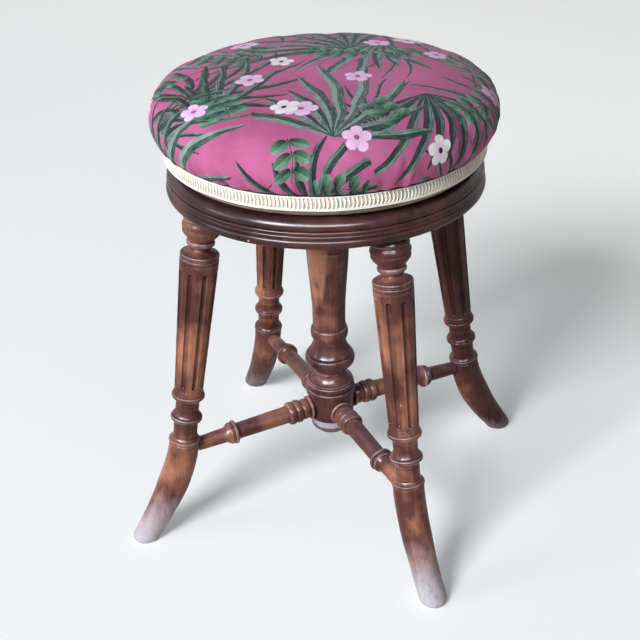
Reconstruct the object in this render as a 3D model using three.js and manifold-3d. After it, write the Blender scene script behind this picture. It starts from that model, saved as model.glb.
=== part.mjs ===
// Revolving piano stool. A round upholstered seat turns and climbs on an iron screw. The screw runs
// in a nut let into a moulded base, which stands on four turned and fluted legs with sabre feet.
// A turned pillar hangs from the base, hides the screw and ties the legs together by four rails.
// Millimetres, Z up, origin on the floor below the middle of the stool, front towards minus Y.

import * as THREE from "three";
import { mergeVertices } from "three/addons/utils/BufferGeometryUtils.js";
import Module from "manifold-3d";

const wasm = await Module();
wasm.setup();

// Fits that every piece uses
const fit = {
  gap: 0.3, // air between pieces that touch
  overrun: 12, // how far a cutter runs past the face that it cuts
};

// Number of flat sides that stand for a full round
const sides = { seat: 36, leg: 16, pillar: 16, rail: 10, tenon: 8, iron: 16, thread: 10, flute: 8, fastener: 8 };

// The round base under the seat: an ovolo, two fine beads and a lip, turned on its edge
const base = {
  underside: 378, // height above the floor
  thickness: 27.5,
  undersideRadius: 157.8,
  lip: { length: 8.6, rise: 2.7 },
  bead: { radius: 157.6, length: 4, rise: 1.5 },
  ovolo: { rootRadius: 155.8, topRadius: 150.5, rise: 4.6 },
};

// A leg: cap, cup, ring, fluted shaft, two beads, collar and sabre foot, all one piece of wood
const leg = {
  names: ["leg_back_right", "leg_back_left", "leg_front_left", "leg_front_right"],
  spread: 132, // distance of its axis from the middle, at the base's underside
  splay: 9.25, // degrees from upright
  turnedLength: 270, // along the axis, from the base to the collar's lower edge
  tenon: { radius: 9, length: 17 },
  cap: { neckRadius: 15, neckLength: 6.6, length: 7, radius: 18.6, bow: 1.1 },
  cup: { quirk: 0.7, quirkRadius: 18.2, rimLength: 4.4, radius: 19.9 },
  cupWall: { length: 17, waistRadius: 13.4, bow: 1.2 },
  ring: { length: 6, rise: 1.4, neckLength: 2, neckRadius: 11.2 },
  shoulder: { flareLength: 5.6, radius: 17.4, bow: -0.5, rimLength: 2.4, rimRadius: 19.2 },
  crown: { radius: 19.6, length: 7.4, rise: 0.9 },
  shaft: { topRadius: 19.7, bottomRadius: 15.1 },
  flute: { count: 8, width: 6, depth: 2.4, topMargin: 7.2, bottomMargin: 3 },
  upperBead: { riseLength: 10, radius: 17.4, riseBow: 0.6, fallLength: 8.4, rootRadius: 13.6, fallBow: 1.3 },
  lowerBead: { riseLength: 10.4, radius: 17.1, riseBow: -0.2, fallLength: 9.4, rootRadius: 13.6, fallBow: 1.2 },
  fillet: { length: 2.4 },
  neck: { length: 2.6, radius: 12.6 },
  collar: { flareLength: 16.2, radius: 17.2, bow: -0.8, length: 2.6 },
  foot: {
    reach: 228, // distance of its tread from the middle
    knee: 49, // how far the foot runs on down the leg's axis before it has turned outward
    topRadius: 16.7,
    depth: 17.3, // half of its thickness towards the middle, at the calf
    width: 15.2, // half of its thickness sideways, at the calf
    treadDepth: 13.6,
    treadWidth: 13,
    toeDepth: 11,
    toeWidth: 10.6,
  },
};

// Where along the foot its thickness is set, from the collar to the floor
const footShares = { calf: 0.48, ankle: 0.8, heel: 0.94, ankleSwell: 0.45 };

// The turned pillar in the middle
const pillar = {
  drum: { length: 28, lowerRadius: 24.6, radius: 25.4 },
  sole: { radius: 16, riseLength: 11, bulgeRadius: 25.6, riseBow: 2.4, fallLength: 9.5, fallBow: 0.7 },
  quirk: { length: 1.6, depth: 0.8 },
  bead: { length: 11, rise: 1.6 },
  bell: { radius: 25.2, length: 15, bow: 0.9 },
  waist: { radius: 17.6, length: 2.2 },
  torus: { riseLength: 10.6, radius: 27.1, riseBow: 1, edgeLength: 7, edgeRise: 0.4 },
  dome: { radius: 26.2, length: 19.6, neckRadius: 18.2, bow: 1.1, neckLength: 7 },
  ring: { length: 13.6, rise: 2.7 },
  shaft: { bottomRadius: 18, topRadius: 22.6, hollow: -1 },
  reeds: { length: 5, rise: 1.2 },
  shank: { length: 51, radius: 23.4 },
  capital: { flareLength: 9, radius: 30, bow: -1.5, edgeLength: 3.6, backRadius: 27 },
  tenonRadius: 23.5,
};

// A turned rail between the pillar and a leg
const rail = {
  names: ["rail_back_right", "rail_back_left", "rail_front_left", "rail_front_right"],
  height: 108, // of its axis at the middle of the stool
  fall: 2, // degrees that it drops towards the leg
  tenonRadius: 7,
  socketDepth: 12,
  disc: { radius: 12.2, length: 3.2, rise: 1 },
  bulb: { radius: 9.6, length: 9.4, rise: 1.9 },
  rings: { radius: 10.8, length: 8, rise: 2.2 },
  rod: { innerRadius: 9.7, outerRadius: 9.1, length: 60 },
  collar: { coveLength: 2.4, radius: 12.2, crestLength: 3.4, crestRise: 1 },
  knuckle: { radius: 10.6, length: 5.4, rise: 1.4, fallLength: 3.6 },
  end: { innerRadius: 8.4, outerRadius: 7.5 },
};

// The iron lifting gear
const lift = {
  travel: 100, // how far the seat climbs
  pitch: 8,
  crestRadius: 11,
  rootRadius: 8.6,
  crestWidth: 2.9,
  flank: 0.8,
  sideGap: 0.5, // free play along the axis between the screw's thread and the nut's
  tail: 9.5, // thread left below the nut when the seat is fully up
  neckRadius: 9.4,
  rivet: { radius: 13, thickness: 2 },
};
const nut = {
  radius: 40,
  thickness: 4,
  boss: { radius: 17, length: 20 },
  screwCircle: 31.5,
};
const washer = { innerRadius: 12.4, outerRadius: 24, thickness: 1.5 };
const flange = { radius: 42, thickness: 4, hub: { radius: 20, length: 1.4 }, screwCircle: 32 };
const woodScrew = { headRadius: 4.2, headLength: 2.5, shankRadius: 2.1, length: 15, point: 3, count: 4 };
const borePlay = 8; // air in the pillar below the screw's end

// The upholstered seat
const board = { radius: 157, thickness: 20, chamferHeight: 6, chamferDepth: 5, edgeRound: 1.4 };
const cushion = {
  overhang: 11.5, // how far its widest part stands out past where it is tucked in
  widestHeight: 41, // above the board's underside
  height: 88, // of the crown's middle above the board's underside
  clothThickness: 1.2,
  hem: 8, // height of the cover's lower edge above the board's underside
};
const crownRoundness = 3; // 2 is an ellipse, and more is a flatter top with rounder sides
const braid = { height: 14.4, thickness: 1.5, bottom: 7, edge: 0.4 };

const gap = fit.gap;
const overrun = fit.overrun;
const radians = THREE.MathUtils.degToRad;

// A turned outline, cut as a wood turner cuts it: a list of places along the work and radii
class Outline {
  constructor(place, radius) {
    this.marks = [[place, radius]];
  }

  get place() {
    return this.marks.at(-1)[0];
  }

  get radius() {
    return this.marks.at(-1)[1];
  }

  to(place, radius) {
    this.marks.push([place, radius]);
    return this;
  }

  run(length, radius = this.radius) {
    return this.to(this.place + length, radius);
  }

  step(radius) {
    return this.to(this.place, radius);
  }

  // From here to another radius, bowed out of the straight line, or into it where bow is negative
  curve(length, radius, bow, steps = 2) {
    const [place, start] = this.marks.at(-1);
    for (let i = 1; i <= steps; i += 1) {
      const turn = (Math.PI * i) / steps;
      const share = (1 - Math.cos(turn)) / 2;
      this.to(place + length * share, start + (radius - start) * share + bow * Math.sin(turn));
    }
    return this;
  }

  bead(length, rise, steps = 2) {
    return this.curve(length, this.radius, rise, steps);
  }
}

function solid(geometry) {
  const plain = geometry.clone();
  plain.deleteAttribute("normal");
  plain.deleteAttribute("uv");
  const merged = mergeVertices(plain);
  return new wasm.Manifold(
    new wasm.Mesh({
      numProp: 3,
      vertProperties: new Float32Array(merged.attributes.position.array),
      triVerts: new Uint32Array(merged.index.array),
    }),
  );
}

function geometryOf(body) {
  const mesh = body.getMesh();
  const geometry = new THREE.BufferGeometry();
  geometry.setAttribute("position", new THREE.BufferAttribute(new Float32Array(mesh.vertProperties), 3));
  geometry.setIndex(new THREE.BufferAttribute(new Uint32Array(mesh.triVerts), 1));
  return geometry;
}

// A round piece about the Z axis. Marks are heights and radii, and the outline starts and ends on
// the axis, or closes on itself
function turned(marks, count) {
  const points = marks.map(([height, radius]) => new THREE.Vector2(radius, height));
  return new THREE.LatheGeometry(points, count).rotateX(Math.PI / 2);
}

function rod(radius, bottom, top, count) {
  return turned([[bottom, 0], [bottom, radius], [top, radius], [top, 0]], count);
}

// A closed skin over rings of points, each ring drawn anticlockwise about the way that it travels
function loft(rings) {
  const count = rings[0].length;
  const middle = (ring) => ring.reduce((sum, p) => sum.add(p), new THREE.Vector3()).divideScalar(count);
  const points = [...rings.flat(), middle(rings[0]), middle(rings.at(-1))];
  const startMiddle = rings.length * count;
  const lastRing = startMiddle - count;
  const faces = [];
  for (let j = 0; j < count; j += 1) {
    const next = (j + 1) % count;
    faces.push(startMiddle, next, j);
    faces.push(startMiddle + 1, lastRing + j, lastRing + next);
    for (let i = 0; i < lastRing; i += count) {
      faces.push(i + j, i + next, i + count + next);
      faces.push(i + j, i + count + next, i + count + j);
    }
  }
  return indexed(points, faces);
}

function indexed(points, faces) {
  const geometry = new THREE.BufferGeometry();
  geometry.setFromPoints(points);
  geometry.setIndex(faces);
  return geometry;
}

// One ring of a loft in the upright plane through X: it looks along the slope, and is an oval
function ovalRing(centre, slope, depth, width, count) {
  const outward = new THREE.Vector3(-slope.z, 0, slope.x);
  return Array.from({ length: count }, (_, i) => {
    const turn = (2 * Math.PI * i) / count;
    const point = centre.clone().addScaledVector(outward, depth * Math.cos(turn));
    point.y -= width * Math.sin(turn);
    return point;
  });
}

// Heights in the stack of base, iron plates and seat
const baseTop = base.underside + base.thickness;
const nutBottom = baseTop - nut.thickness - nut.boss.length;
const washerBottom = baseTop + gap;
const hubBottom = washerBottom + washer.thickness + gap;
const boardBottom = hubBottom + flange.hub.length;
const boardTop = boardBottom + board.thickness;
const screwBottom = nutBottom - lift.travel - lift.tail;
const boreBottom = screwBottom - borePlay;

// Radius of the cover where it lies on the board's edge, behind the braid
const tuckRadius = board.radius + gap + cushion.clothThickness;

const quarterTurns = [0, 1, 2, 3].map((i) => Math.PI / 4 + (i * Math.PI) / 2);

// The line of a leg, in its own upright plane: X runs outward and Z up
const legTop = new THREE.Vector3(leg.spread, 0, base.underside);
const legSlope = new THREE.Vector3(Math.sin(radians(leg.splay)), 0, -Math.cos(radians(leg.splay)));
const legAt = (place) => legTop.clone().addScaledVector(legSlope, place);
const footCurve = new THREE.QuadraticBezierCurve3(
  legAt(leg.turnedLength),
  legAt(leg.turnedLength + leg.foot.knee),
  new THREE.Vector3(leg.foot.reach, 0, 0),
);

// How far out the middle of the foot is at a height
function footAtHeight(height) {
  let above = 0;
  let below = 1;
  for (let i = 0; i < 30; i += 1) {
    const share = (above + below) / 2;
    if (footCurve.getPoint(share).z > height) above = share;
    else below = share;
  }
  return footCurve.getPoint(above).x;
}

// The line of a rail, in the same plane as its leg
const railFall = radians(rail.fall);
const railEnd = footAtHeight(rail.height - leg.foot.reach * Math.tan(railFall));

function alongRail(geometry) {
  return geometry.rotateY(Math.PI / 2 + railFall).translate(0, 0, rail.height);
}

function legOutline() {
  const { cap, cup, cupWall, ring, shoulder, crown, shaft, upperBead, lowerBead, fillet, neck, collar } = leg;
  const outline = new Outline(-overrun, cap.neckRadius);
  outline.to(cap.neckLength, cap.neckRadius).curve(cap.length, cap.radius, cap.bow);
  outline.run(cup.quirk, cup.quirkRadius).run(cup.rimLength, cup.radius);
  outline.curve(cupWall.length, cupWall.waistRadius, cupWall.bow, 3);
  outline.bead(ring.length, ring.rise).run(ring.neckLength, ring.neckRadius);
  outline.curve(shoulder.flareLength, shoulder.radius, shoulder.bow).step(shoulder.rimRadius);
  outline.run(shoulder.rimLength, crown.radius).bead(crown.length, crown.rise).step(shaft.topRadius);
  const shaftTop = outline.place;
  const ends = [upperBead, lowerBead].map((bead) => bead.riseLength + bead.fallLength + fillet.length);
  const lowerLength = ends[0] + ends[1] + 2 * neck.length + collar.flareLength + collar.length;
  const shaftBottom = leg.turnedLength - lowerLength;
  outline.run(shaftBottom - shaftTop, shaft.bottomRadius);
  for (const bead of [upperBead, lowerBead]) {
    outline.curve(bead.riseLength, bead.radius, bead.riseBow);
    outline.curve(bead.fallLength, bead.rootRadius, bead.fallBow, 3);
    outline.run(fillet.length).run(neck.length, neck.radius);
  }
  outline.curve(collar.flareLength, collar.radius, collar.bow).run(collar.length);
  return { marks: outline.marks, shaftTop, shaftBottom };
}

function flutes(shaftTop, shaftBottom) {
  const { flute, shaft } = leg;
  const radius = (flute.width ** 2 / 4 + flute.depth ** 2) / (2 * flute.depth);
  const stand = radius - flute.depth;
  const top = shaftTop + flute.topMargin + radius;
  const bottom = shaftBottom - flute.bottomMargin - radius;
  const taper = (shaft.bottomRadius - shaft.topRadius) / (shaftBottom - shaftTop);
  const shaftRadius = (place) => shaft.topRadius + taper * (place - shaftTop);
  const endShares = [[1, 0.4], [0.3, 0.95]];
  const stations = [
    ...endShares.map(([back, share]) => [top - radius * back, radius * share]),
    ...endShares.toReversed().map(([back, share]) => [bottom + radius * back, radius * share]),
  ];
  const sideways = new THREE.Vector3(0, -1, 0);
  const outward = new THREE.Vector3().crossVectors(sideways, legSlope).negate();
  return Array.from({ length: flute.count }, (_, i) => {
    const around = (2 * Math.PI * i) / flute.count;
    const away = outward.clone().multiplyScalar(Math.cos(around)).addScaledVector(sideways, Math.sin(around));
    const across = new THREE.Vector3().crossVectors(legSlope, away);
    const rings = stations.map(([place, size]) => {
      const centre = legAt(place).addScaledVector(away, shaftRadius(place) + stand);
      return Array.from({ length: sides.flute }, (_, j) => {
        const turn = (2 * Math.PI * (j + 0.5)) / sides.flute;
        const point = centre.clone().addScaledVector(away, size * Math.cos(turn));
        return point.addScaledVector(across, size * Math.sin(turn));
      });
    });
    return solid(loft(rings));
  });
}

function makeLeg() {
  const { foot } = leg;
  const { marks, shaftTop, shaftBottom } = legOutline();
  const rings = marks.map(([place, radius]) => ovalRing(legAt(place), legSlope, radius, radius, sides.leg));
  const swell = footShares.ankleSwell;
  const between = (from, to) => from + (to - from) * swell;
  const stations = [
    [0, foot.topRadius, foot.topRadius],
    [footShares.calf / 2, (foot.topRadius + foot.depth) / 2, (foot.topRadius + foot.width) / 2],
    [footShares.calf, foot.depth, foot.width],
    [footShares.ankle, between(foot.depth, foot.treadDepth), between(foot.width, foot.treadWidth)],
    [footShares.heel, foot.treadDepth, foot.treadWidth],
  ];
  for (const [share, depth, width] of stations) {
    rings.push(ovalRing(footCurve.getPoint(share), footCurve.getTangent(share), depth, width, sides.leg));
  }
  const slope = footCurve.getTangent(1);
  const toe = footCurve.getPoint(1).addScaledVector(slope, foot.toeDepth);
  rings.push(ovalRing(toe, slope, foot.toeDepth, foot.toeWidth, sides.leg));

  const across = 4 * leg.foot.reach;
  const above = new THREE.BoxGeometry(across, across, base.thickness)
    .translate(0, 0, base.underside - gap + base.thickness / 2);
  const floor = new THREE.BoxGeometry(across, across, foot.knee).translate(0, 0, -foot.knee / 2);
  const socketStart = railEnd - leg.collar.radius * 2;
  const socketEnd = railEnd - foot.topRadius + rail.socketDepth + gap;
  const socket = alongRail(rod(rail.end.outerRadius + gap, socketStart, socketEnd, sides.rail));
  let body = solid(loft(rings)).subtract(solid(above)).subtract(solid(floor)).subtract(solid(socket));
  for (const flute of flutes(shaftTop, shaftBottom)) body = body.subtract(flute);
  return geometryOf(body.add(solid(legTenon(leg.tenon.radius, leg.tenon.length))));
}

// The round tenon on top of a leg, or the mortise for it
function legTenon(radius, length) {
  const rings = [leg.cap.neckLength, -length].map((place) =>
    ovalRing(legAt(place), legSlope, radius, radius, sides.tenon).reverse(),
  );
  return loft(rings);
}

function makeBase() {
  const { lip, bead, ovolo } = base;
  const edge = new Outline(base.underside, base.undersideRadius);
  edge.curve(lip.length, bead.radius, lip.rise);
  edge.bead(bead.length, bead.rise).bead(bead.length, bead.rise).step(ovolo.rootRadius);
  edge.curve(baseTop - edge.place, ovolo.topRadius, ovolo.rise, 4);
  const holeRadius = pillar.tenonRadius + gap;
  const recess = baseTop - nut.thickness - gap;
  const marks = [
    [base.underside, holeRadius],
    ...edge.marks,
    [baseTop, nut.radius + gap],
    [recess, nut.radius + gap],
    [recess, holeRadius],
    [base.underside, holeRadius],
  ];
  let body = solid(turned(marks, sides.seat));
  for (const turn of quarterTurns) {
    const mortise = legTenon(leg.tenon.radius + gap, leg.tenon.length + gap);
    body = body.subtract(solid(mortise.rotateZ(turn)));
  }
  for (const place of screwPlaces(nut.screwCircle)) {
    body = body.subtract(solid(woodScrewShape(gap).translate(place.x, place.y, baseTop)));
  }
  return geometryOf(body);
}

// A countersunk wood screw with its head at height zero, or with an allowance the hole for it
function woodScrewShape(allowance) {
  const { headRadius, headLength, shankRadius, length, point } = woodScrew;
  const marks = [
    [-length - allowance, 0],
    [point - length, shankRadius + allowance],
    [-headLength, shankRadius + allowance],
    [0, headRadius + allowance],
  ];
  if (allowance > 0) marks.push([overrun, headRadius + allowance], [overrun, 0]);
  else marks.push([0, 0]);
  return turned(marks, sides.fastener);
}

function screwPlaces(circle) {
  return Array.from({ length: woodScrew.count }, (_, i) => {
    const turn = (2 * Math.PI * i) / woodScrew.count;
    return new THREE.Vector3(circle * Math.cos(turn), circle * Math.sin(turn), 0);
  });
}

function makePillar() {
  const { drum, sole, quirk, bead, bell, waist, torus, dome, ring, shaft, reeds, shank, capital } = pillar;
  const drumBottom = rail.height - drum.length / 2;
  const outline = new Outline(drumBottom - sole.riseLength - sole.fallLength, 0);
  outline.step(sole.radius).curve(sole.riseLength, sole.bulgeRadius, sole.riseBow, 3);
  outline.curve(sole.fallLength, drum.lowerRadius, sole.fallBow).run(drum.length, drum.radius);
  outline.step(drum.radius - quirk.depth).run(quirk.length).step(drum.radius);
  outline.bead(bead.length, bead.rise, 3).step(bell.radius);
  outline.curve(bell.length, waist.radius, bell.bow, 3).run(waist.length);
  outline.curve(torus.riseLength, torus.radius, torus.riseBow, 3).bead(torus.edgeLength, torus.edgeRise);
  outline.step(dome.radius).curve(dome.length, dome.neckRadius, dome.bow, 3).run(dome.neckLength);
  outline.bead(ring.length, ring.rise, 3).step(shaft.bottomRadius);
  const capitalBottom = base.underside - gap - capital.flareLength - 2 * capital.edgeLength;
  const shaftTop = capitalBottom - shank.length - 2 * reeds.length;
  outline.curve(shaftTop - outline.place, shaft.topRadius, shaft.hollow);
  outline.bead(reeds.length, reeds.rise).bead(reeds.length, reeds.rise).run(shank.length, shank.radius);
  outline.curve(capital.flareLength, capital.radius, capital.bow).run(capital.edgeLength);
  outline.run(capital.edgeLength, capital.backRadius).step(pillar.tenonRadius);
  const recess = baseTop - nut.thickness - gap;
  const bossRadius = nut.boss.radius + gap;
  const boreRadius = (lift.crestRadius + bossRadius) / 2;
  outline.to(recess, pillar.tenonRadius).step(bossRadius).to(nutBottom - gap, bossRadius);
  outline.step(boreRadius).to(boreBottom, boreRadius).step(0);
  let body = solid(turned(outline.marks, sides.pillar));
  const drumInside = drum.lowerRadius - rail.socketDepth - gap;
  for (const turn of quarterTurns) {
    const socket = alongRail(rod(rail.tenonRadius + gap, drumInside, 2 * drum.radius, sides.rail));
    body = body.subtract(solid(socket.rotateZ(turn)));
  }
  return geometryOf(body);
}

function makeRail() {
  const { disc, bulb, rings, rod: bar, collar, knuckle, end } = rail;
  const face = pillar.drum.radius + gap;
  const outline = new Outline(pillar.drum.lowerRadius - rail.socketDepth, 0);
  outline.step(rail.tenonRadius).to(face, rail.tenonRadius).step(disc.radius);
  outline.bead(disc.length, disc.rise).step(bulb.radius).bead(bulb.length, bulb.rise).step(rings.radius);
  outline.bead(rings.length, rings.rise).bead(rings.length, rings.rise).step(bar.innerRadius);
  outline.run(bar.length, bar.outerRadius).run(collar.coveLength, collar.radius);
  outline.bead(collar.crestLength, collar.crestRise).step(knuckle.radius);
  outline.bead(knuckle.length, knuckle.rise).run(knuckle.fallLength, end.innerRadius);
  const tip = railEnd - leg.foot.topRadius + rail.socketDepth;
  outline.to(railEnd - leg.collar.radius, end.outerRadius).to(tip, end.outerRadius).step(0);
  return alongRail(turned(outline.marks, sides.rail));
}

// A square sided screw thread about the Z axis between two heights, right handed
function threaded(bottom, top, crestRadius, rootRadius, crestWidth) {
  const { pitch, flank } = lift;
  const count = sides.thread;
  const profile = [
    [-crestWidth / 2, crestRadius],
    [crestWidth / 2, crestRadius],
    [crestWidth / 2 + flank, rootRadius],
    [pitch - crestWidth / 2 - flank, rootRadius],
  ];
  const phase = nutBottom - pitch * Math.ceil((nutBottom - bottom) / pitch + 1);
  const turns = Math.ceil((top - phase) / pitch) + 1;
  const lastRow = turns * profile.length;
  const points = [];
  const starts = [];
  for (let j = 0; j < count; j += 1) {
    starts.push(points.length);
    const turn = (2 * Math.PI * j) / count;
    const rows = j === 0 ? lastRow + profile.length : lastRow;
    for (let row = 0; row <= rows; row += 1) {
      const [offset, radius] = profile[row % profile.length];
      const height = phase + pitch * (j / count + Math.floor(row / profile.length)) + offset;
      points.push(new THREE.Vector3(radius * Math.cos(turn), radius * Math.sin(turn), height));
    }
  }
  const at = (j, row) => (j < count ? starts[j] + row : starts[0] + row + profile.length);
  const faces = [];
  for (let j = 0; j < count; j += 1) {
    for (let row = 0; row < lastRow; row += 1) {
      faces.push(at(j, row), at(j + 1, row), at(j + 1, row + 1));
      faces.push(at(j, row), at(j + 1, row + 1), at(j, row + 1));
    }
  }
  for (const [row, height, flip] of [[0, phase + pitch / 2, true], [lastRow, phase + pitch * (turns + 1 / 2), false]]) {
    const middle = points.push(new THREE.Vector3(0, 0, height)) - 1;
    const loop = Array.from({ length: count + 1 }, (_, j) => at(j, row));
    for (let k = profile.length - 1; k >= 0; k -= 1) loop.push(starts[0] + row + k);
    for (let i = 0; i + 1 < loop.length; i += 1) {
      if (flip) faces.push(middle, loop[i + 1], loop[i]);
      else faces.push(middle, loop[i], loop[i + 1]);
    }
  }
  const limits = rod(2 * crestRadius, bottom, top, sides.fastener);
  return solid(indexed(points, faces)).intersect(solid(limits));
}

// Radius that keeps a flat sided thread's middle as far out as its corners should be
const flatSideGrowth = 1 / Math.cos(Math.PI / sides.thread);

function makeNut() {
  const { radius, boss } = nut;
  const marks = [
    [nutBottom, 0],
    [nutBottom, boss.radius],
    [baseTop - nut.thickness, boss.radius],
    [baseTop - nut.thickness, radius],
    [baseTop, radius],
    [baseTop, 0],
  ];
  const crest = (lift.crestRadius + gap) * flatSideGrowth;
  const root = (lift.rootRadius + gap) * flatSideGrowth;
  const width = lift.crestWidth + 2 * lift.sideGap;
  let body = solid(turned(marks, sides.iron));
  body = body.subtract(threaded(nutBottom - overrun, baseTop + overrun, crest, root, width));
  for (const place of screwPlaces(nut.screwCircle)) {
    body = body.subtract(solid(woodScrewShape(gap).translate(place.x, place.y, baseTop)));
  }
  return geometryOf(body);
}

function makeLiftScrew() {
  const threadTop = hubBottom - gap;
  const plateTop = boardBottom + flange.thickness;
  const { rivet, neckRadius } = lift;
  const rivetBottom = plateTop + gap;
  const head = turned(
    [
      [threadTop - lift.pitch, 0],
      [threadTop - lift.pitch, lift.rootRadius / 2],
      [threadTop, lift.rootRadius / 2],
      [threadTop, neckRadius],
      [rivetBottom, neckRadius],
      [rivetBottom, rivet.radius],
      [rivetBottom + rivet.thickness, rivet.radius],
      [rivetBottom + rivet.thickness, 0],
    ],
    sides.iron,
  );
  const thread = threaded(screwBottom, threadTop, lift.crestRadius, lift.rootRadius, lift.crestWidth);
  return geometryOf(thread.add(solid(head)));
}

function makeFlange() {
  const hole = lift.neckRadius + gap;
  const plateTop = boardBottom + flange.thickness;
  const marks = [
    [hubBottom, hole],
    [hubBottom, flange.hub.radius],
    [boardBottom, flange.hub.radius],
    [boardBottom, flange.radius],
    [plateTop, flange.radius],
    [plateTop, hole],
    [hubBottom, hole],
  ];
  let body = solid(turned(marks, sides.iron));
  for (const place of screwPlaces(flange.screwCircle)) {
    body = body.subtract(solid(underScrew(gap, place)));
  }
  return geometryOf(body);
}

// A flange screw points up into the board, with its head level with the plate's underside
function underScrew(allowance, place) {
  return woodScrewShape(allowance).rotateX(Math.PI).translate(place.x, place.y, boardBottom);
}

function makeBoard() {
  const { radius, chamferHeight, chamferDepth, edgeRound } = board;
  const recess = boardBottom + flange.thickness + gap;
  const pocket = recess + lift.rivet.thickness + gap;
  const marks = [
    [pocket, 0],
    [pocket, lift.rivet.radius + gap],
    [recess, lift.rivet.radius + gap],
    [recess, flange.radius + gap],
    [boardBottom, flange.radius + gap],
    [boardBottom, radius - chamferDepth],
    [boardBottom + chamferHeight / 2, radius - edgeRound],
    [boardBottom + chamferHeight, radius],
    [boardTop, radius],
    [boardTop, 0],
  ];
  let body = solid(turned(marks, sides.seat));
  for (const place of screwPlaces(flange.screwCircle)) {
    body = body.subtract(solid(underScrew(gap, place)));
  }
  return geometryOf(body);
}

// The cushion's outline inside an inset, from where the cover leaves the board up to the crown
function cushionOutline(inset) {
  const tuckHeight = boardBottom + braid.bottom + braid.height;
  const widest = boardBottom + cushion.widestHeight;
  const foot = tuckRadius - inset;
  const radius = foot + cushion.overhang;
  const rise = cushion.height - cushion.widestHeight - inset;
  const marks = [];
  const lowerSteps = 3;
  const upperSteps = 6;
  for (let i = 0; i < lowerSteps; i += 1) {
    const turn = (Math.PI * i) / (2 * lowerSteps);
    const height = widest - (widest - tuckHeight) * Math.cos(turn);
    marks.push([height, foot + cushion.overhang * Math.sin(turn)]);
  }
  for (let i = 0; i < upperSteps; i += 1) {
    const turn = (Math.PI * i) / (2 * upperSteps);
    const across = Math.cos(turn) ** (2 / crownRoundness);
    marks.push([widest + rise * Math.sin(turn) ** (2 / crownRoundness), radius * across]);
  }
  marks.push([widest + rise, 0]);
  return marks;
}

function makeCover() {
  const hemHeight = boardBottom + cushion.hem;
  const outer = cushionOutline(0);
  const inner = cushionOutline(cushion.clothThickness);
  const marks = [...inner.reverse(), [hemHeight, inner.at(-1)[1]], [hemHeight, outer[0][1]], ...outer];
  return turned(marks, sides.seat);
}

function makeStuffing() {
  const outline = cushionOutline(cushion.clothThickness + gap);
  const bottom = boardTop + gap;
  const marks = [[bottom, 0], [bottom, outline[0][1]], ...outline.filter(([height]) => height > bottom + gap)];
  return turned(marks, sides.seat);
}

function makeBraid() {
  const bottom = boardBottom + braid.bottom;
  const top = bottom + braid.height;
  const inside = tuckRadius + gap;
  const outside = inside + braid.thickness;
  const marks = [
    [bottom, inside],
    [bottom, outside - braid.edge],
    [bottom + braid.edge, outside],
    [top - braid.edge - gap, outside],
    [top - gap, outside - braid.edge],
    [top - gap, inside],
    [bottom, inside],
  ];
  return turned(marks, sides.seat);
}

function makeWasher() {
  const { innerRadius, outerRadius, thickness } = washer;
  const marks = [
    [washerBottom, innerRadius],
    [washerBottom, outerRadius],
    [washerBottom + thickness, outerRadius],
    [washerBottom + thickness, innerRadius],
    [washerBottom, innerRadius],
  ];
  return turned(marks, sides.iron);
}

// Colours and sheen of the finished pieces
const finishes = {
  polishedWood: { color: 0x4a2416, roughness: 0.34, metalness: 0 },
  bareWood: { color: 0x8a6242, roughness: 0.75, metalness: 0 },
  iron: { color: 0x4b4a48, roughness: 0.5, metalness: 0.9 },
  brass: { color: 0x8c6f3a, roughness: 0.45, metalness: 0.9 },
  cloth: { color: 0xa33a63, roughness: 0.85, metalness: 0 },
  stuffing: { color: 0xb9a98c, roughness: 0.95, metalness: 0 },
  braid: { color: 0xe6dcc0, roughness: 0.9, metalness: 0 },
};

const stool = new THREE.Group();

function place(name, geometry, finish, turn = 0) {
  const mesh = new THREE.Mesh(geometry, new THREE.MeshStandardMaterial(finishes[finish]));
  mesh.name = name;
  mesh.rotation.z = turn;
  stool.add(mesh);
}

place("base_platform", makeBase(), "polishedWood");
place("pillar", makePillar(), "polishedWood");
quarterTurns.forEach((turn, i) => {
  place(leg.names[i], makeLeg(), "polishedWood", turn);
  place(rail.names[i], makeRail(), "polishedWood", turn);
});

place("nut_plate", makeNut(), "iron");
place("thrust_washer", makeWasher(), "iron");
place("lift_screw", makeLiftScrew(), "iron");
place("seat_flange", makeFlange(), "iron");
screwPlaces(nut.screwCircle).forEach(({ x, y }, i) => {
  place(`nut_plate_screw_${i + 1}`, woodScrewShape(0).translate(x, y, baseTop), "iron");
});
screwPlaces(flange.screwCircle).forEach((at, i) => {
  place(`seat_flange_screw_${i + 1}`, underScrew(0, at), "iron");
});

place("seat_board", makeBoard(), "bareWood");
place("stuffing_pad", makeStuffing(), "stuffing");
place("seat_cover", makeCover(), "cloth");
place("braid_trim", makeBraid(), "braid");

export default stool;
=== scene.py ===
import random
from functools import partialmethod
from math import atan, atan2, cos, dist, exp, hypot, pi, radians, sin, tau

import bmesh
import bpy
from bmesh import ops
from bpy import data
from mathutils import Matrix, Vector


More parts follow.
